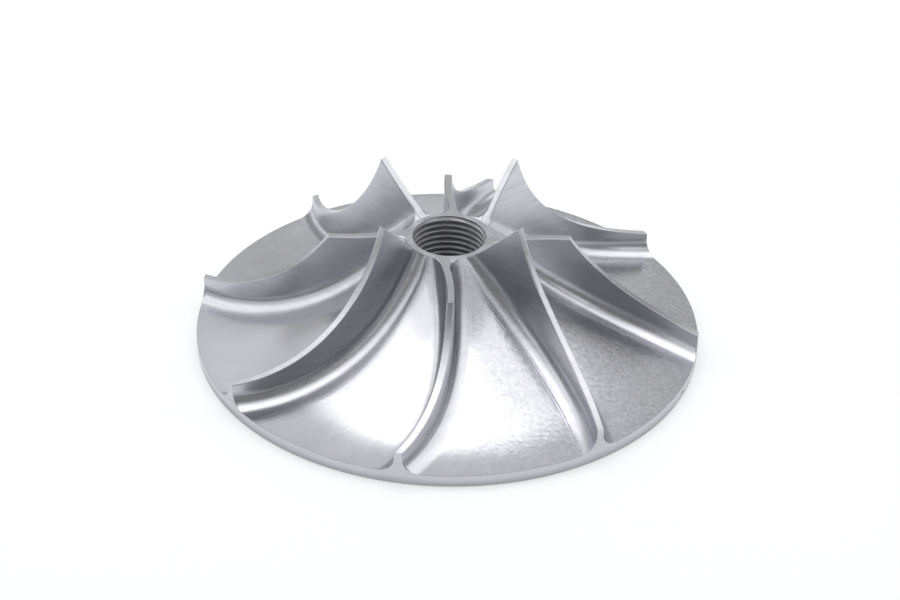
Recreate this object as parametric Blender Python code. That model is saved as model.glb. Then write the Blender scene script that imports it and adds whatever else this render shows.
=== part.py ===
"""Open pump impeller milled from one aluminium billet.

Eight blades stand on a concave hub and flat-backed disc, four full and four low ones by turns.
Axis along +Z, back face at z = 0, first low blade along +X. Lengths are in metres.
"""

import math

import bmesh
import bpy

MM = 0.001

# Disc and hub
RIM_R = 60.0 * MM
RIM_Z = 3.1 * MM
RIM_CHAMFER = 0.3 * MM
RING_R = 10.2 * MM
RING_Z = 27.7 * MM
HUB_ARC_R = 67.0 * MM

# Threaded bore, M18 x 1.5
PITCH = 1.5 * MM
MAJOR_R = 9.0 * MM
MINOR_R = 8.19 * MM
CREST_FLAT = PITCH / 4
BORE_CHAMFER = 0.5 * MM
THREAD_STEPS = 32
THREAD_RUNOUT = 2.25 * MM

# Blades
BLADES = 8
PEAK_R = 22.1 * MM
CORNER_R = 28.24 * MM
CONTOUR_ARC_R = 46.9 * MM
CONTOUR_X = 66.45 * MM
CONTOUR_Z = 54.9 * MM
PLAN_ARC_R = 56.85 * MM
PLAN_X = 25.6 * MM
PLAN_Y = -56.2 * MM
THICK_IN = 1.8 * MM
THICK_OUT = 1.6 * MM
FILLET_IN = 2.6 * MM
FILLET_OUT = 3.7 * MM
FILLET_FULL_R = 16.0 * MM

# Facets
STATIONS = [10.2, 10.9, 11.8, 13.0, 14.5, 16.0, 18.0, 20.0, 22.1, 24.0, 26.0, 28.24]
STATIONS += [31.0, 34.0, 37.0, 40.5, 44.0, 48.0, 52.0, 56.0, 60.0]
FILLET_STEPS = 4
FLOOR_STEPS = 5


def lerp(r, r0, r1, v0, v1):
    share = min(max((r - r0) / (r1 - r0), 0.0), 1.0)
    return v0 + (v1 - v0) * share


def hub_arc_centre():
    """Centre of the arc through the ring's edge and the rim's edge, on its hollow side."""
    dr, dz = RIM_R - RING_R, RIM_Z - RING_Z
    chord = math.hypot(dr, dz)
    rise = math.sqrt(HUB_ARC_R**2 - chord**2 / 4)
    return (
        (RING_R + RIM_R) / 2 - dz / chord * rise,
        (RING_Z + RIM_Z) / 2 + dr / chord * rise,
    )


HUB_X, HUB_Z = hub_arc_centre()


def hub_z(r):
    return HUB_Z - math.sqrt(HUB_ARC_R**2 - (r - HUB_X) ** 2)


def contour_z(r):
    return CONTOUR_Z - math.sqrt(CONTOUR_ARC_R**2 - (r - CONTOUR_X) ** 2)


def top_z(r, full):
    """Height of a blade's free edge."""
    if full:
        if r < PEAK_R:
            return lerp(r, RING_R, PEAK_R, RING_Z, contour_z(PEAK_R))
        return contour_z(r)
    return RING_Z if r < CORNER_R else min(contour_z(r), RING_Z)


def fillet_point(a, side, t):
    """Point on the root fillet, from the hub (t = 0) to the blade's wall (t = 1).

    a is the angle round the plan arc, and side is +1 or -1. The ball that rolls along the root
    touches the wall and the hub's arc of revolution.
    """
    nx, ny = math.cos(a), math.sin(a)
    x, y = PLAN_X + PLAN_ARC_R * nx, PLAN_Y + PLAN_ARC_R * ny
    r = math.hypot(x, y)
    half = lerp(r, CORNER_R, RIM_R, THICK_IN, THICK_OUT) / 2
    ball = lerp(r, RING_R, FILLET_FULL_R, FILLET_IN, FILLET_OUT)
    x += side * nx * (half + ball)
    y += side * ny * (half + ball)
    r = math.hypot(x, y)
    z = HUB_Z - math.sqrt((HUB_ARC_R - ball) ** 2 - (r - HUB_X) ** 2)
    mr, mz = (r - HUB_X) / (HUB_ARC_R - ball), (z - HUB_Z) / (HUB_ARC_R - ball)
    mx, my = mr * x / r, mr * y / r
    wx, wy = -side * nx, -side * ny
    span = math.acos(mx * wx + my * wy)
    p, q = math.sin((1 - t) * span) / math.sin(span), math.sin(t * span) / math.sin(span)
    return x + ball * (p * mx + q * wx), y + ball * (p * my + q * wy), z + ball * p * mz


def fillet_at(r, side, t):
    """(angle, height) of the fillet's line t where it passes radius r."""
    inner, outer = math.radians(114), math.radians(35)
    for _ in range(40):
        middle = (inner + outer) / 2
        x, y, z = fillet_point(middle, side, t)
        if math.hypot(x, y) < r:
            inner = middle
        else:
            outer = middle
    return math.atan2(y, x), z


def blade_side(r, side, full):
    """(angle, height) points of one side of a blade at radius r, from the hub up to the free edge."""
    top = top_z(r, full)
    reach = 1.0
    if fillet_at(r, side, 1.0)[1] > top:
        low = 0.0
        for _ in range(30):
            middle = (low + reach) / 2
            if fillet_at(r, side, middle)[1] < top:
                low = middle
            else:
                reach = middle
    points = [fillet_at(r, side, reach * i / FILLET_STEPS) for i in range(FILLET_STEPS + 1)]
    if reach < 1.0:
        points[-1] = (points[-1][0], top)
    return points + [(points[-1][0], top)]


def section(r):
    """(angle, height) points right round the impeller at radius r."""
    sides = {}
    for full in (False, True):
        sides[full] = blade_side(r, -1, full), blade_side(r, 1, full)
    points = []
    for blade in range(BLADES):
        turn = 2 * math.pi * blade / BLADES
        before, after = sides[blade % 2 == 1]
        points += [(turn + angle, z) for angle, z in before]
        points += [(turn + angle, z) for angle, z in reversed(after)]
        start = turn + after[0][0]
        end = turn + 2 * math.pi / BLADES + sides[blade % 2 == 0][0][0][0]
        for i in range(1, FLOOR_STEPS):
            points.append((start + (end - start) * i / FLOOR_STEPS, hub_z(r)))
    return points


def new_object(name, bm):
    bmesh.ops.recalc_face_normals(bm, faces=bm.faces[:])
    mesh = bpy.data.meshes.new(name)
    bm.to_mesh(mesh)
    bm.free()
    obj = bpy.data.objects.new(name, mesh)
    bpy.context.scene.collection.objects.link(obj)
    return obj


def add_row(bm, r, points):
    return [bm.verts.new((r * math.cos(a), r * math.sin(a), z)) for a, z in points]


def join_rows(bm, first, second):
    for i in range(len(first)):
        j = (i + 1) % len(first)
        bm.faces.new((first[i], first[j], second[j], second[i]))


def make_body():
    """Disc, hub and blades as one skin, closed over the place of the bore."""
    bm = bmesh.new()
    rows = [add_row(bm, r * MM, section(r * MM)) for r in STATIONS]
    rim = section(RIM_R)
    rows.append(add_row(bm, RIM_R, [(a, RIM_CHAMFER) for a, _ in rim]))
    rows.append(add_row(bm, RIM_R - RIM_CHAMFER, [(a, 0.0) for a, _ in rim]))
    for first, second in zip(rows, rows[1:]):
        join_rows(bm, first, second)
    bm.faces.new(rows[0])
    bm.faces.new(rows[-1])
    bmesh.ops.remove_doubles(bm, verts=bm.verts[:], dist=0.002 * MM)
    bmesh.ops.dissolve_degenerate(bm, edges=bm.edges[:], dist=0.002 * MM)
    return new_object("impeller", bm)


def make_thread_cutter():
    """Screw-shaped cutter: one pitch of the thread's outline turned up the axis."""
    bm = bmesh.new()
    flank = (PITCH - CREST_FLAT) / 2
    outline = ((MINOR_R, 0.0), (MINOR_R, CREST_FLAT), (MAJOR_R, CREST_FLAT + flank), (MINOR_R, PITCH))
    verts = [bm.verts.new((r, 0.0, z - THREAD_RUNOUT)) for r, z in outline]
    edges = [bm.edges.new(pair) for pair in zip(verts, verts[1:])]
    turns = math.ceil((RING_Z + 2 * THREAD_RUNOUT - PITCH) / PITCH)
    bmesh.ops.spin(
        bm,
        geom=verts + edges,
        cent=(0, 0, 0),
        axis=(0, 0, 1),
        dvec=(0, 0, PITCH / THREAD_STEPS),
        angle=2 * math.pi * turns,
        steps=THREAD_STEPS * turns,
    )
    bmesh.ops.remove_doubles(bm, verts=bm.verts[:], dist=0.001 * MM)
    open_edges = [edge for edge in bm.edges if edge.is_boundary]
    caps = bmesh.ops.holes_fill(bm, edges=open_edges, sides=0)["faces"]
    for vert in bmesh.ops.poke(bm, faces=caps)["verts"]:
        above = vert.co.z > RING_Z / 2
        vert.co = (0, 0, vert.co.z + (PITCH if above else -PITCH))
    return new_object("thread_cutter", bm)


def make_chamfer_cutter(name, face_z, up):
    """Cone that opens the bore's end outwards at 45 degrees."""
    bm = bmesh.new()
    reach = 2 * MM
    mouth = MINOR_R + BORE_CHAMFER
    small, large = mouth - reach, mouth + reach
    bmesh.ops.create_cone(
        bm,
        cap_ends=True,
        segments=2 * THREAD_STEPS,
        radius1=small if up else large,
        radius2=large if up else small,
        depth=2 * reach,
    )
    bmesh.ops.translate(bm, verts=bm.verts[:], vec=(0, 0, face_z))
    return new_object(name, bm)


def cut(target, cutter):
    cutter.hide_render = True
    cutter.display_type = "WIRE"
    modifier = target.modifiers.new(cutter.name, "BOOLEAN")
    modifier.operation = "DIFFERENCE"
    modifier.solver = "EXACT"
    modifier.object = cutter


def make_aluminium():
    material = bpy.data.materials.new("milled_aluminium")
    material.use_nodes = True
    shader = material.node_tree.nodes["Principled BSDF"]
    shader.inputs["Base Color"].default_value = (0.62, 0.63, 0.65, 1.0)
    shader.inputs["Metallic"].default_value = 1.0
    shader.inputs["Roughness"].default_value = 0.32
    return material


def main():
    for obj in list(bpy.data.objects):
        bpy.data.objects.remove(obj)
    impeller = make_body()
    cut(impeller, make_thread_cutter())
    cut(impeller, make_chamfer_cutter("top_chamfer_cutter", RING_Z, True))
    cut(impeller, make_chamfer_cutter("back_chamfer_cutter", 0.0, False))
    impeller.data.materials.append(make_aluminium())
    impeller.data.polygons.foreach_set("use_smooth", [True] * len(impeller.data.polygons))
    impeller.data.set_sharp_from_angle(angle=math.radians(30))


main()
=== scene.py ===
"""Visual model of an open pump impeller milled from one aluminium billet, with its stage."""

import math

import bmesh
import bpy
from mathutils import Matrix, Vector


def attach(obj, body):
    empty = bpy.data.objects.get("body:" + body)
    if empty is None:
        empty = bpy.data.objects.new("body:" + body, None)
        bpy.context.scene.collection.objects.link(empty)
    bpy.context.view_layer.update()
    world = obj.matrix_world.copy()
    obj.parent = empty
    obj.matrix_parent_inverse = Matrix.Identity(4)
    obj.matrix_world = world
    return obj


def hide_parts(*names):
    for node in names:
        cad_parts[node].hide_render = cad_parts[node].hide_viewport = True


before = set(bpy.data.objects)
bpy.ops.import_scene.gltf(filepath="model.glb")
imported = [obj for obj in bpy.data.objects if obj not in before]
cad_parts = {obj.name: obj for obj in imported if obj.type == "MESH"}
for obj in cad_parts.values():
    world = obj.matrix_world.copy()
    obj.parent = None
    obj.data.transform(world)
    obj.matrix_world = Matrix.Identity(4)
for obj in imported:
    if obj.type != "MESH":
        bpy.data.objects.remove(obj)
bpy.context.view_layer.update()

bl_info = {
    "name": "Pump impeller",
    "version": (1, 0, 0),
    "blender": (4, 5, 0),
    "location": "View3D > Sidebar > Impeller",
    "description": "Mills an open pump impeller and sets up its studio",
    "category": "Add Mesh",
}

MM = 0.001
MERGE = 0.001 * MM
LEVEL = 0.01 * MM
SHARP_ANGLE = math.radians(32)

FLOOR_HALF = 3.0
FLOOR_DROP = 0.05 * MM
FLOOR_TINT = (0.99, 1.0, 1.01, 1.0)
AIR_STRENGTH = 0.208

LENS = 95.79
CAMERA_DISTANCE = 0.57724
CAMERA_TILT = math.radians(34.4133)
CAMERA_ROLL = math.radians(1.2535)
AIM_RIGHT = 0.00081
AIM_UP = 0.01398


def length(name, description, size, **limits):
    """Property for a length, with its default in millimetres."""
    return bpy.props.FloatProperty(
        name=name, description=description, default=size * MM, unit="LENGTH", **limits
    )


class ImpellerSizes(bpy.types.PropertyGroup):
    """Sizes of the impeller, all from the axis and the back face."""

    rim_radius: length("Rim radius", "Radius of the disc's edge", 60.0, min=0.03)
    rim_height: length("Rim height", "Thickness of the disc at its edge", 3.1, min=0.001)
    rim_chamfer: length("Rim chamfer", "Edge break at the foot of the rim", 0.3)
    edge_break: length("Edge break", "Edge break at the top of the rim", 0.03)
    blade_edge: length("Blade edge", "Edge break along the blades' free edges", 0.16)
    ring_radius: length("Ring radius", "Outer radius of the flat ring on the hub", 10.2)
    ring_height: length("Ring height", "Height of the flat ring on the hub", 27.7)
    hub_arc: length("Hub arc", "Radius of the hub's hollow outline", 67.0)
    peak_radius: length("Peak radius", "Radius of the full blades' peaks", 22.1)
    corner_radius: length("Corner radius", "Radius where the low blades' flat tops end", 28.24)
    tip_arc: length("Tip arc", "Radius of the arc that the blades' tips follow", 46.9)
    tip_arc_x: length("Tip arc centre out", "Distance of the tip arc's centre from the axis", 66.45)
    tip_arc_z: length("Tip arc centre height", "Height of the tip arc's centre", 54.9)
    plan_arc: length("Sweep arc", "Radius of the blades' sweep, seen from above", 56.85)
    plan_arc_x: length("Sweep centre along", "Place of the sweep arc's centre along the blade", 25.6)
    plan_arc_y: length("Sweep centre across", "Place of the sweep arc's centre across the blade", -56.2)
    thick_in: length("Inlet thickness", "Blade thickness near the hub", 1.8)
    thick_out: length("Outlet thickness", "Blade thickness at the rim", 1.6)
    fillet_in: length("Inlet fillet", "Root fillet at the hub's ring", 2.6)
    fillet_out: length("Fillet", "Root fillet away from the ring", 3.7)
    fillet_full_radius: length("Full fillet from", "Radius from which the fillet has its full size", 16.0)
    pitch: length("Thread pitch", "Pitch of the bore's thread", 1.5)
    crest_radius: length("Crest radius", "Radius at the thread's crests", 8.19)
    root_radius: length("Root radius", "Radius at the thread's roots", 9.0)
    bore_chamfer: length("Bore chamfer", "Chamfer at both ends of the bore", 0.5)
    blade_pairs: bpy.props.IntProperty(
        name="Blade pairs", description="Number of pairs of one low and one full blade", default=4, min=2
    )


class ImpellerLooks(bpy.types.PropertyGroup):
    """Finish of the metal and strength of the studio's lights."""

    metal: bpy.props.FloatVectorProperty(
        name="Metal",
        description="Colour of the milled aluminium",
        default=(0.618, 0.622, 0.66),
        subtype="COLOR",
        size=3,
    )
    roughness: bpy.props.FloatProperty(
        name="Roughness", description="Mean roughness of the milled faces", default=0.18, subtype="FACTOR"
    )
    relief: bpy.props.FloatProperty(
        name="Relief",
        description="Strength of the tool marks",
        default=1.0,
        min=0.0,
        max=1.0,
        subtype="FACTOR",
    )
    floor: bpy.props.FloatVectorProperty(
        name="Floor",
        description="Colour of the studio floor",
        default=(0.49, 0.5, 0.51),
        subtype="COLOR",
        size=3,
    )
    floor_glow: bpy.props.FloatProperty(
        name="Floor glow", description="Light that the lit table gives off by itself", default=0.51, min=0.0
    )


# Shape of the impeller


def lerp(value, low, high, at_low, at_high):
    share = min(max((value - low) / (high - low), 0.0), 1.0)
    return at_low + (at_high - at_low) * share


class Outline:
    """The turned outlines and the blade's sections that the sizes give."""

    fillet_steps = 10
    wall_steps = 3
    top_steps = 4
    floor_steps = 14

    def __init__(self, sizes):
        self.sizes = sizes
        self.blades = 2 * sizes.blade_pairs
        run = sizes.rim_radius - sizes.ring_radius
        drop = sizes.rim_height - sizes.ring_height
        chord = math.hypot(run, drop)
        rise = math.sqrt(sizes.hub_arc**2 - chord**2 / 4)
        self.hub_x = (sizes.ring_radius + sizes.rim_radius) / 2 - drop / chord * rise
        self.hub_z = (sizes.ring_height + sizes.rim_height) / 2 + run / chord * rise

    def hub_height(self, r):
        return self.hub_z - math.sqrt(self.sizes.hub_arc**2 - (r - self.hub_x) ** 2)

    def tip_height(self, r):
        s = self.sizes
        return s.tip_arc_z - math.sqrt(s.tip_arc**2 - (r - s.tip_arc_x) ** 2)

    def top_height(self, r, full):
        """Height of a blade's free edge: a cone up to the peak, or flat, then the tips' arc."""
        s = self.sizes
        if not full:
            return s.ring_height if r < s.corner_radius else min(self.tip_height(r), s.ring_height)
        if r >= s.peak_radius:
            return self.tip_height(r)
        return lerp(r, s.ring_radius, s.peak_radius, s.ring_height, self.tip_height(s.peak_radius))

    def fillet_point(self, turn, side, share):
        """Point on the root fillet, from the hub (share 0) to the wall (share 1).

        turn is the angle round the sweep arc. The fillet is what a ball leaves that rolls along
        the root, against the blade's wall and the hub's turned surface.
        """
        s = self.sizes
        nx, ny = math.cos(turn), math.sin(turn)
        x, y = s.plan_arc_x + s.plan_arc * nx, s.plan_arc_y + s.plan_arc * ny
        r = math.hypot(x, y)
        half = lerp(r, s.corner_radius, s.rim_radius, s.thick_in, s.thick_out) / 2
        ball = lerp(r, s.ring_radius, s.fillet_full_radius, s.fillet_in, s.fillet_out)
        x += side * nx * (half + ball)
        y += side * ny * (half + ball)
        r = math.hypot(x, y)
        reach = s.hub_arc - ball
        z = self.hub_z - math.sqrt(reach**2 - (r - self.hub_x) ** 2)
        out, up = (r - self.hub_x) / reach, (z - self.hub_z) / reach
        hx, hy = out * x / r, out * y / r
        wx, wy = -side * nx, -side * ny
        span = math.acos(hx * wx + hy * wy)
        p, q = math.sin((1 - share) * span) / math.sin(span), math.sin(share * span) / math.sin(span)
        return x + ball * (p * hx + q * wx), y + ball * (p * hy + q * wy), z + ball * p * up

    def fillet_at(self, r, side, share):
        """(angle, height) of that line of the fillet where it passes radius r."""
        inner, outer = math.radians(114), math.radians(35)
        for _ in range(36):
            middle = (inner + outer) / 2
            x, y, z = self.fillet_point(middle, side, share)
            if math.hypot(x, y) < r:
                inner = middle
            else:
                outer = middle
        return math.atan2(y, x), z

    def blade_side(self, r, side, full):
        """(angle, height) points of one side of a blade at radius r, from the hub to the free edge."""
        top = self.top_height(r, full)
        reach = 1.0
        if self.fillet_at(r, side, 1.0)[1] > top:
            low = 0.0
            for _ in range(24):
                middle = (low + reach) / 2
                if self.fillet_at(r, side, middle)[1] < top:
                    low = middle
                else:
                    reach = middle
        steps = self.fillet_steps
        points = [self.fillet_at(r, side, reach * i / steps) for i in range(steps + 1)]
        angle, low = points[-1]
        if reach < 1.0:
            low = top
            points[-1] = (angle, top)
        walls = self.wall_steps
        return points + [(angle, lerp(i, 0, walls, low, top)) for i in range(1, walls + 1)]

    def sector(self, r, full):
        """(angle, height) points across one blade, from mid-passage to mid-passage."""
        before, after = self.blade_side(r, -1, full), self.blade_side(r, 1, full)
        middle = (before[0][0] + after[0][0]) / 2
        half = math.pi / self.blades
        floor = self.hub_height(r)
        top = before[-1][1]
        edge = min(self.sizes.blade_edge, (top - floor) * 0.3)
        start, end = before[-1][0], after[-1][0]
        inset = (end - start) * edge / self.sizes.thick_in
        points = []
        for i in range(self.floor_steps):
            points.append((lerp(i, 0, self.floor_steps, middle - half, before[0][0]), floor))
        points += before[:-1] + [(start, top - edge)]
        for i in range(self.top_steps + 1):
            points.append((lerp(i, 0, self.top_steps, start + inset, end - inset), top))
        points += [(end, top - edge)] + after[-2::-1]
        for i in range(1, self.floor_steps + 1):
            points.append((lerp(i, 0, self.floor_steps, after[0][0], middle + half), floor))
        return points

    def stations(self):
        """Radii of the rows, close together near the ring."""
        s = self.sizes
        radii = []
        for start, end, rows in (
            (s.ring_radius, s.peak_radius, 34),
            (s.peak_radius, s.corner_radius, 14),
            (s.corner_radius, s.rim_radius - s.edge_break, 62),
        ):
            radii += [lerp(i / rows, 0, 1, start, end) for i in range(rows)]
        return radii + [s.rim_radius - s.edge_break, s.rim_radius]


def add_sector(bm, outline, full):
    """One blade with half a passage on each side, from a flat grid bent onto the surface."""
    sizes = outline.sizes
    radii = outline.stations()
    rows = [outline.sector(r, full) for r in radii]
    rows[-1] = [(angle, z - sizes.edge_break) for angle, z in rows[-1]]
    across, along = len(rows[0]) - 1, len(radii) - 1
    verts = bmesh.ops.create_grid(bm, x_segments=across, y_segments=along, size=0.5)["verts"]
    turn = math.pi / sizes.blade_pairs if full else 0.0
    for vert in verts:
        row = round((vert.co.y + 0.5) * along)
        angle, z = rows[row][round((vert.co.x + 0.5) * across)]
        vert.co = Matrix.Rotation(angle + turn, 3, "Z") @ Vector((radii[row], 0.0, z))
    return verts


def boundary(bm, low, high):
    """Open edges whose middles lie between two heights."""
    found = []
    for edge in bm.edges:
        if edge.is_boundary and low <= (edge.verts[0].co.z + edge.verts[1].co.z) / 2 <= high:
            found.append(edge)
    return found


def add_thread(bm, sizes):
    """The bore's thread: one pitch of its outline turned up the axis, cut level at both ends."""
    pitch, crest, root = sizes.pitch, sizes.crest_radius, sizes.root_radius
    flat, land = pitch / 4, pitch / 8
    flank = (pitch - flat - land) / 2
    outline = (
        (crest, 0.0),
        (crest, flat / 2),
        (crest, flat),
        ((crest + root) / 2, flat + flank / 2),
        (root, flat + flank),
        (root, flat + flank + land),
        ((crest + root) / 2, flat + flank * 1.5 + land),
        (crest, pitch),
    )
    start = -1.5 * pitch
    verts = [bm.verts.new((r, 0.0, z + start)) for r, z in outline]
    edges = [bm.edges.new(pair) for pair in zip(verts, verts[1:])]
    turns = math.ceil(sizes.ring_height / pitch) + 2
    per_turn = 96
    bmesh.ops.spin(
        bm,
        geom=verts + edges,
        cent=(0, 0, 0),
        axis=(0, 0, 1),
        dvec=(0, 0, pitch / per_turn),
        angle=2 * math.pi * turns,
        steps=per_turn * turns,
    )
    bmesh.ops.remove_doubles(bm, verts=bm.verts[:], dist=MERGE)
    for height, normal in ((0.0, (0, 0, -1)), (sizes.ring_height, (0, 0, 1))):
        bmesh.ops.bisect_plane(
            bm,
            geom=bm.verts[:] + bm.edges[:] + bm.faces[:],
            plane_co=(0, 0, height),
            plane_no=normal,
            dist=2 * MERGE,
            clear_outer=True,
        )
    mouth = crest + sizes.bore_chamfer
    for vert in bm.verts:
        depth = min(vert.co.z, sizes.ring_height - vert.co.z)
        r = math.hypot(vert.co.x, vert.co.y)
        wide = max(r, mouth - depth)
        vert.co.x *= wide / r
        vert.co.y *= wide / r


def new_piece(name, bm, sharp_angle):
    mesh = bpy.data.meshes.new(name)
    bm.to_mesh(mesh)
    bm.free()
    mesh.polygons.foreach_set("use_smooth", [True] * len(mesh.polygons))
    mesh.set_sharp_from_angle(angle=sharp_angle)
    piece = bpy.data.objects.new(name, mesh)
    bpy.context.scene.collection.objects.link(piece)
    return piece


# Finish of the metal


class Value:
    """A number that varies over the surface. Arithmetic on it adds Math nodes."""

    def __init__(self, finish, socket):
        self.finish = finish
        self.socket = socket

    def math(self, operation, *others):
        inputs = {i: other for i, other in enumerate((self, *others))}
        return self.finish.node("ShaderNodeMath", {"operation": operation}, inputs)["Value"]

    def __add__(self, other):
        return self.math("ADD", other)

    __radd__ = __add__

    def __mul__(self, other):
        return self.math("MULTIPLY", other)

    __rmul__ = __mul__

    def __sub__(self, other):
        return self.math("SUBTRACT", other)

    def __rsub__(self, other):
        return (self * -1.0) + other

    def __truediv__(self, other):
        return self.math("DIVIDE", other)

    def __pow__(self, other):
        return self.math("POWER", other)

    def step(self, low, high):
        """0 at low and 1 at high, with a soft step between. It falls where high is the lesser."""
        inputs = {"Value": self, "From Min": low, "From Max": high}
        return self.finish.node("ShaderNodeMapRange", {"interpolation_type": "SMOOTHSTEP"}, inputs)["Result"]

    def band(self, low, high, soft):
        """1 between low and high, and 0 outside."""
        return self.step(low - soft, low + soft) * self.step(high + soft, high - soft)


class Finish:
    """A material whose nodes are added one by one."""

    def __init__(self, name):
        self.material = bpy.data.materials.new(name)
        self.material.use_nodes = True
        self.tree = self.material.node_tree
        self.tree.nodes.clear()

    def node(self, kind, settings=None, inputs=None):
        """Adds a node with its settings and its sockets' values or links, and gives its outputs by name."""
        node = self.tree.nodes.new(kind)
        for name, value in (settings or {}).items():
            setattr(node, name, value)
        for name, value in (inputs or {}).items():
            if isinstance(value, Value):
                self.tree.links.new(value.socket, node.inputs[name])
            else:
                node.inputs[name].default_value = value
        return {output.name: Value(self, output) for output in node.outputs if output.enabled}

    def vector(self, x, y, z):
        return self.node("ShaderNodeCombineXYZ", {}, {"X": x, "Y": y, "Z": z})["Vector"]

    def noise(self, place, scale, detail=2.0):
        """Noise about zero. The scale is in cells to a millimetre where the place is in millimetres."""
        inputs = {"Vector": place, "Scale": scale, "Detail": detail}
        return self.node("ShaderNodeTexNoise", {}, inputs)["Fac"] - 0.5


class Places:
    """Where a point of the metal lies, in millimetres and radians."""

    def __init__(self, finish, sizes):
        place = finish.node("ShaderNodeTexCoord")["Object"]
        parts = finish.node("ShaderNodeSeparateXYZ", {}, {"Vector": place})
        self.x, self.y, self.z = (parts[axis] * 1000.0 for axis in "XYZ")
        self.xyz = finish.vector(self.x, self.y, self.z)
        self.radius = (self.x * self.x + self.y * self.y) ** 0.5
        self.angle = self.y.math("ARCTAN2", self.x)
        # Angle from the sweep line, which is the same all along a blade
        cx, cy, arc = (size / MM for size in (sizes.plan_arc_x, sizes.plan_arc_y, sizes.plan_arc))
        away = math.hypot(cx, cy)
        share = (self.radius * self.radius + (away**2 - arc**2)) / (self.radius * (2 * away))
        lead = share.math("ARCCOSINE") + math.atan2(cy, cx)
        self.swept = (self.angle - lead).math("WRAP", math.pi, -math.pi)
        # Distance from the nearest blade's middle
        half = math.pi / sizes.blade_pairs / 2
        near = lead + self.swept.math("WRAP", half, -half)
        dx = self.radius * near.math("COSINE") - cx
        dy = self.radius * near.math("SINE") - cy
        self.side = (dx * dx + dy * dy) ** 0.5 - arc
        self.off_blade = self.side.math("ABSOLUTE")


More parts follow.
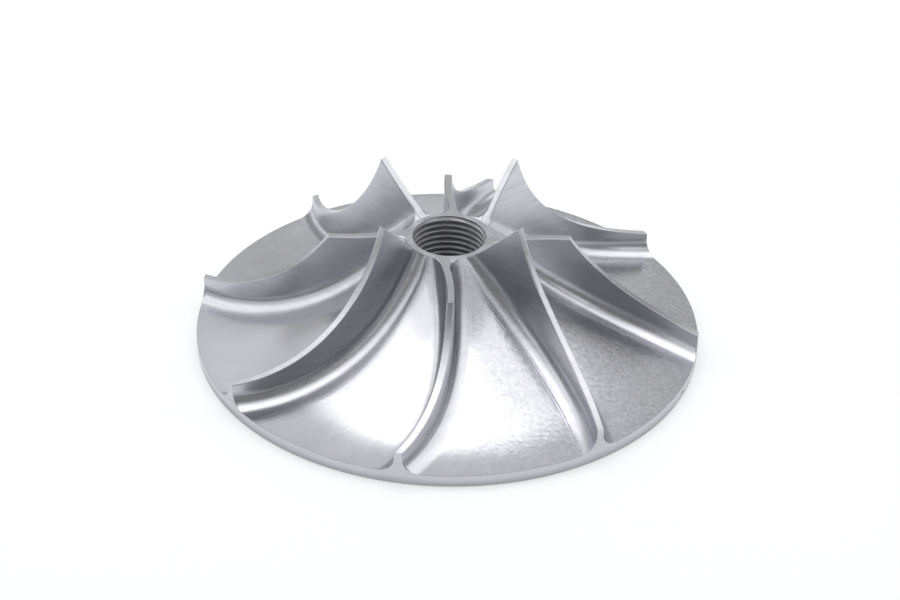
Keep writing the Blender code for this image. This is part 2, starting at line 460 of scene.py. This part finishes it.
def milled_aluminium(looks, sizes):
    """Milled metal: cusps along the flow, mottling on the +X side, turned faces and a rougher thread."""
    finish = Finish("milled_aluminium")
    p = Places(finish, sizes)
    rim, tall = sizes.rim_radius / MM, sizes.ring_height / MM

    on_back = p.z.step(0.06, 0.02)
    in_bore = p.radius.step(9.15, 9.02) * p.z.step(tall - 0.02, tall - 0.1)
    on_rim = p.radius.step(rim - 0.12, rim - 0.04)
    on_ring = p.z.band(tall - 0.02, tall + 0.02, 0.01)
    on_wall = p.off_blade.step(1.6, 1.1) * (1.0 - on_ring) * (1.0 - on_back) * (1.0 - in_bore)
    on_fillet = p.off_blade.band(1.4, 4.2, 0.5) * (1.0 - on_back)
    on_floor = p.off_blade.step(3.2, 4.6) * (1.0 - on_back) * (1.0 - on_ring) * (1.0 - on_rim)
    right = p.x.step(-4.0, 14.0) * (1.0 - p.y.step(-46.0, -56.0) * 0.6)

    # Line where the walls turn into the fillets, on the outer side of the sweep. It is darkened
    # below, because the lit table shows in it more brightly than in the photograph.
    thick_in, thick_out = sizes.thick_in / MM, sizes.thick_out / MM
    wall = thick_in / 2 - p.radius.step(sizes.corner_radius / MM, rim) * ((thick_in - thick_out) / 2)
    # Mask of the painted shade along the walls' feet, which dims the lit table's reflection there
    painted_root_shade = (p.side - wall).band(0.02, 0.34, 0.06) * (1.0 - on_back) * (1.0 - on_ring)
    painted_root_shade = painted_root_shade * (1.0 - on_rim) * (1.0 - in_bore)

    # Fine cusps that follow the flow, streaks across it and mottling on the right-hand floors
    flow = finish.vector(p.swept.math("COSINE") * 42.0, p.swept.math("SINE") * 42.0, p.radius * 0.11)
    streaks = finish.noise(flow, 1.5, 3.0)
    across = p.radius - p.swept * p.radius * 0.36
    cross = finish.noise(finish.vector(across, p.swept * 4.0, p.z * 0.0), 0.8, 2.0)
    blotch = finish.noise(p.xyz, 0.16, 3.0)
    mottle = finish.noise(p.xyz, 0.95, 3.0) * (1.0 + blotch * 2.0)
    grain = finish.noise(p.xyz, 3.2, 2.0)

    # Short strokes over the fillets and tool lines along their feet
    strokes = finish.noise(finish.vector(p.radius * 1.1, p.off_blade * 0.3, p.z * 0.3), 1.0, 1.0)
    passes = finish.noise(finish.vector(p.radius * 0.12, p.z * 1.1, p.swept * 3.0), 1.0, 2.0)
    lines = (p.off_blade * (2 * math.pi / 0.8)).math("SINE") * p.off_blade.band(2.2, 5.4, 0.4)
    lines = lines * (0.3 + right * 0.7) * finish.noise(flow, 0.35, 1.0).step(-0.05, 0.12)

    # Turned marks on the back, the ring and the rim
    turned = (p.radius * (2 * math.pi / 0.45)).math("SINE") * (0.6 + blotch)
    rim_marks = (p.z * (2 * math.pi / 0.5)).math("SINE")

    # Small nick on the rim
    along = (p.angle - math.radians(-24.0)) * (rim / 0.75)
    up = (p.z - 1.7) / 0.42
    nick = (along * along + up * up).step(1.2, 0.5) * on_rim

    height = mottle * on_floor * (0.006 + right * 0.034) + streaks * on_floor * 0.008
    height = height + cross * on_floor * right * 0.012 + strokes * on_fillet * 0.024 + lines * 0.008
    height = height + turned * (on_back * 0.006 + on_ring * 0.003) + rim_marks * on_rim * 0.002
    height = height + passes * on_wall * 0.012 + grain * in_bore * 0.03 - nick * 0.12
    normal = finish.node(
        "ShaderNodeBump", {}, {"Height": height, "Strength": looks.relief, "Distance": MM}
    )["Normal"]

    # The rim, the bore's mouth, the root line and the +X floors are darkened to match the photograph
    # under this studio's light. The metal itself may be even.
    # The mottling on the +X floors is the metal's own tone, but the steady 0.1 darkening there is painted
    # shade.
    shade = 1.0 + on_floor * right * (mottle * 0.5 - 0.1) + streaks * on_floor * 0.12 + blotch * 0.12
    shade = shade + passes * (on_wall + on_fillet) * 0.3
    # Painted shade: the bore is darkened in the colour, its mouth more so. The root line's darkening on the
    # next line is painted shade too; the nick's is its own dark colour.
    mouth = p.z.step(tall - 1.0, tall - 0.3)
    shade = shade * (1.0 - in_bore * (0.3 + mouth * 0.3)) * (1.0 - nick * 0.6) * (1.0 - painted_root_shade * 0.38)
    # Painted shade: the rim is darkened, and more so towards its foot, where the shadowed table would show
    # in it.
    shade = shade * (1.0 - on_rim * (0.12 + p.z.step(2.4, 0.2) * 0.28))
    colour = finish.node(
        "ShaderNodeVectorMath", {"operation": "SCALE"}, {"Vector": tuple(looks.metal), "Scale": shade}
    )["Vector"]
    roughness = looks.roughness + blotch * 0.08 + on_wall * 0.14 + on_fillet * 0.12
    roughness = roughness + in_bore * 0.35 + on_back * 0.1 + on_floor * right * (mottle * 0.1 + 0.03)
    shader = finish.node(
        "ShaderNodeBsdfPrincipled",
        {},
        {"Base Color": colour, "Metallic": 1.0, "Roughness": roughness, "Normal": normal},
    )["BSDF"]
    finish.node("ShaderNodeOutputMaterial", {}, {"Surface": shader})
    return finish.material


def plain_floor(looks):
    finish = Finish("studio_floor")
    shader = finish.node(
        "ShaderNodeBsdfPrincipled",
        {},
        {
            "Base Color": (*looks.floor, 1.0),
            "Roughness": 0.9,
            "Specular IOR Level": 0.1,
            "Emission Color": FLOOR_TINT,
            "Emission Strength": looks.floor_glow,
        },
    )["BSDF"]
    finish.node("ShaderNodeOutputMaterial", {}, {"Surface": shader})
    return finish.material


# Operators


class IMPELLER_OT_mill(bpy.types.Operator):
    """Mill the impeller's hub, blades, rim and threaded bore as one closed mesh"""

    bl_idname = "impeller.mill"
    bl_label = "Mill the impeller"
    bl_options = {"REGISTER", "UNDO"}

    def execute(self, context):
        sizes = context.scene.impeller_sizes
        outline = Outline(sizes)
        bm = bmesh.new()
        add_thread(bm, sizes)
        pair = add_sector(bm, outline, False) + add_sector(bm, outline, True)
        pair += list({face for vert in pair for face in vert.link_faces})
        for i in range(1, sizes.blade_pairs):
            copy = bmesh.ops.duplicate(bm, geom=pair)["geom"]
            verts = [item for item in copy if isinstance(item, bmesh.types.BMVert)]
            turn = Matrix.Rotation(2 * math.pi * i / sizes.blade_pairs, 3, "Z")
            bmesh.ops.rotate(bm, verts=verts, cent=(0, 0, 0), matrix=turn)
        bmesh.ops.remove_doubles(bm, verts=bm.verts[:], dist=MERGE)
        bmesh.ops.dissolve_degenerate(bm, edges=bm.edges[:], dist=MERGE)

        tall = sizes.ring_height
        ring_edges = boundary(bm, tall - LEVEL, tall + LEVEL)
        bmesh.ops.triangle_fill(bm, edges=ring_edges, use_beauty=True)

        rim_edges = boundary(bm, sizes.rim_height - sizes.edge_break * 2, tall)
        for radius, height in (
            (sizes.rim_radius, sizes.rim_chamfer),
            (sizes.rim_radius - sizes.rim_chamfer, 0.0),
        ):
            made = bmesh.ops.extrude_edge_only(bm, edges=rim_edges)["geom"]
            foot = [item for item in made if isinstance(item, bmesh.types.BMVert)]
            for vert in foot:
                r = math.hypot(vert.co.x, vert.co.y)
                vert.co = (vert.co.x * radius / r, vert.co.y * radius / r, height)
            bmesh.ops.remove_doubles(bm, verts=foot, dist=MERGE)
            rim_edges = boundary(bm, height - LEVEL, height + LEVEL)
        bmesh.ops.triangle_fill(bm, edges=rim_edges, use_beauty=True)
        bmesh.ops.recalc_face_normals(bm, faces=bm.faces[:])
        if any(not edge.is_manifold for edge in bm.edges):
            raise RuntimeError("the impeller isn't closed")

        impeller = new_piece("impeller_milled", bm, SHARP_ANGLE)
        impeller.data.materials.append(milled_aluminium(context.scene.impeller_looks, sizes))
        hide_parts("impeller")
        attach(impeller, "root")
        return {"FINISHED"}


def add_light(name, place, aim, size, power):
    light = bpy.data.lights.new(name, "AREA")
    light.shape = "RECTANGLE"
    light.size, light.size_y = size
    light.energy = power
    obj = bpy.data.objects.new(name, light)
    obj.location = place
    obj.rotation_euler = (Vector(aim) - Vector(place)).to_track_quat("-Z", "Y").to_euler()
    bpy.context.scene.collection.objects.link(obj)


# Name, place, size in metres and power in watts
SOFTBOXES = (
    ("ceiling_wide", (0.0, 0.175, 0.80), (1.75, 1.4), 4.17),
    ("ceiling_strip", (0.0, 0.175, 0.81), (1.75, 0.7), 1.65),
    ("ceiling_middle", (-0.175, 0.0, 0.82), (0.7, 1.05), 1.33),
    ("ceiling_right", (0.35, 0.175, 0.83), (1.05, 0.7), 0.97),
    ("left_high", (-0.875, 0.0, 0.7), (1.05, 0.2), 1.15),
    ("left_box", (-0.885, 0.175, 0.4), (1.4, 0.4), 0.82),
    ("right_box", (0.875, 0.175, 0.5), (0.7, 0.6), 1.5),
    ("back_box", (-0.06, 0.875, 0.42), (1.0, 0.8), 0.92),
    ("back_right", (0.35, 0.885, 0.2), (1.05, 0.4), 0.2),
    ("back_left", (-0.525, 0.895, 0.7), (0.7, 0.2), 0.16),
    ("front_left", (-0.83, -0.72, 0.6), (0.7, 0.6), 0.95),
    ("front_right", (0.78, -0.78, 0.82), (0.6, 0.45), 0.95),
)


class IMPELLER_OT_stage(bpy.types.Operator):
    """Set up the floor, the lights and the camera"""

    bl_idname = "impeller.stage"
    bl_label = "Set up the studio"
    bl_options = {"REGISTER", "UNDO"}

    def execute(self, context):
        scene = context.scene
        looks = scene.impeller_looks
        bm = bmesh.new()
        bmesh.ops.create_grid(bm, x_segments=1, y_segments=1, size=FLOOR_HALF)
        bmesh.ops.translate(bm, verts=bm.verts[:], vec=(0, 0, -FLOOR_DROP))
        floor = new_piece("studio_floor", bm, SHARP_ANGLE)
        floor.data.materials.append(plain_floor(looks))

        world = bpy.data.worlds.new("studio_air")
        world.use_nodes = True
        air = world.node_tree.nodes["Background"]
        air.inputs["Color"].default_value = (1.0, 1.0, 1.0, 1.0)
        air.inputs["Strength"].default_value = AIR_STRENGTH
        scene.world = world
        for name, place, size, power in SOFTBOXES:
            x, y, z = place
            if name.startswith("ceiling"):
                aim = (x, y, 0.0)
            elif name.startswith(("back", "front")):
                aim = (x, 0.0, z)
            else:
                aim = (0.0, y, z)
            add_light(name, place, aim, size, power)

        data = bpy.data.cameras.new("camera")
        data.sensor_width = 36.0
        data.lens = LENS
        camera = bpy.data.objects.new("camera", data)
        scene.collection.objects.link(camera)
        place, aim, roll = camera_stance()
        turn = (aim - place).to_track_quat("-Z", "Y").to_matrix() @ Matrix.Rotation(roll, 3, "Z")
        camera.matrix_world = Matrix.Translation(place) @ turn.to_4x4()
        scene.camera = camera
        scene.view_settings.view_transform = "Standard"
        return {"FINISHED"}


def camera_stance():
    """Place, aim and roll of the camera, in front of the impeller and above it."""
    ahead = Vector((0.0, math.cos(CAMERA_TILT), -math.sin(CAMERA_TILT)))
    right = Vector((1.0, 0.0, 0.0))
    up = right.cross(ahead)
    place = -ahead * CAMERA_DISTANCE
    aim = place + (ahead + right * AIM_RIGHT + up * AIM_UP) * CAMERA_DISTANCE
    return place, aim, CAMERA_ROLL


class IMPELLER_PT_panel(bpy.types.Panel):
    """Sizes, looks and steps of the impeller"""

    bl_idname = "IMPELLER_PT_panel"
    bl_label = "Pump impeller"
    bl_space_type = "VIEW_3D"
    bl_region_type = "UI"
    bl_category = "Impeller"

    def draw(self, context):
        for group in (context.scene.impeller_sizes, context.scene.impeller_looks):
            box = self.layout.box()
            for name in group.bl_rna.properties.keys():
                if name not in {"rna_type", "name"}:
                    box.prop(group, name)
        self.layout.operator(IMPELLER_OT_mill.bl_idname)
        self.layout.operator(IMPELLER_OT_stage.bl_idname)


CLASSES = (ImpellerSizes, ImpellerLooks, IMPELLER_OT_mill, IMPELLER_OT_stage, IMPELLER_PT_panel)


def register():
    for cls in CLASSES:
        bpy.utils.register_class(cls)
    bpy.types.Scene.impeller_sizes = bpy.props.PointerProperty(type=ImpellerSizes)
    bpy.types.Scene.impeller_looks = bpy.props.PointerProperty(type=ImpellerLooks)


def unregister():
    del bpy.types.Scene.impeller_looks
    del bpy.types.Scene.impeller_sizes
    for cls in reversed(CLASSES):
        bpy.utils.unregister_class(cls)


def main():
    register()
    bpy.ops.impeller.mill()
    bpy.ops.impeller.stage()


if __name__ == "__main__":
    main()
